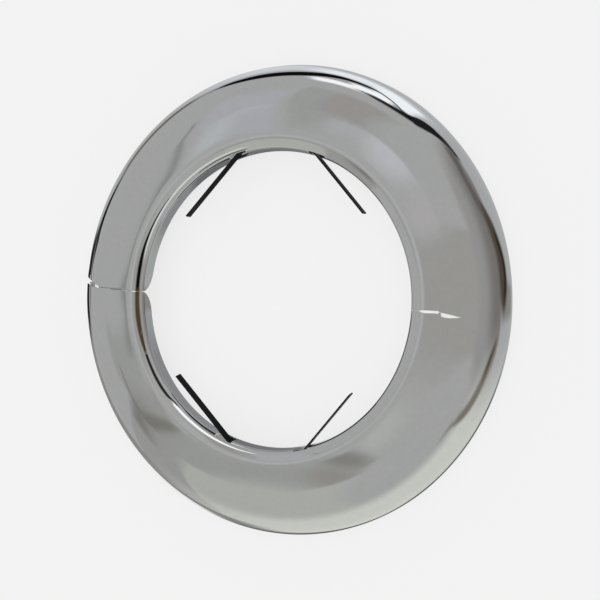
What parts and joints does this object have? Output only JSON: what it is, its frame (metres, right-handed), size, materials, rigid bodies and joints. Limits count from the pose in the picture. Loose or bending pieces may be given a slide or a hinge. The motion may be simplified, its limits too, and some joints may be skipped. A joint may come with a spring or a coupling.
{
  "type": "hinged pipe rosette",
  "caption": "Chromed pressed-steel pipe rosette in two hinged half rings with leaf springs that grip the pipe, covering the gap where a heating pipe enters a wall.",
  "frame": {"origin": "centre of the ring on the plane of its back edge, which lies on the wall or floor", "axes": "+Z out of the visible front face, +X along the split towards the hinge, -X towards the latch, +Y towards the half with the keeper"},
  "size_m": [0.1, 0.1, 0.0092],
  "materials": {
    "chrome": "bright plated",
    "spring_steel": "blackened",
    "bare_steel": "plain"
  },
  "bodies": {
    "upper_half": {"upper_half_shell": "chrome", "upper_leaf_spring": "spring_steel", "latch_keeper": "bare_steel", "hinge_strap": "bare_steel"},
    "lower_half": {"lower_half_shell": "chrome", "lower_leaf_spring": "spring_steel", "latch_tongue": "bare_steel"}
  },
  "joints": [
    {"name": "ring_hinge", "type": "hinge", "parent": "upper_half", "child": "lower_half", "pos_m": [0.04999, -0.00068, 0], "axis": [0, 0, 1], "range_deg": [0, 60], "deforming": ["hinge_strap"]}
  ]
}
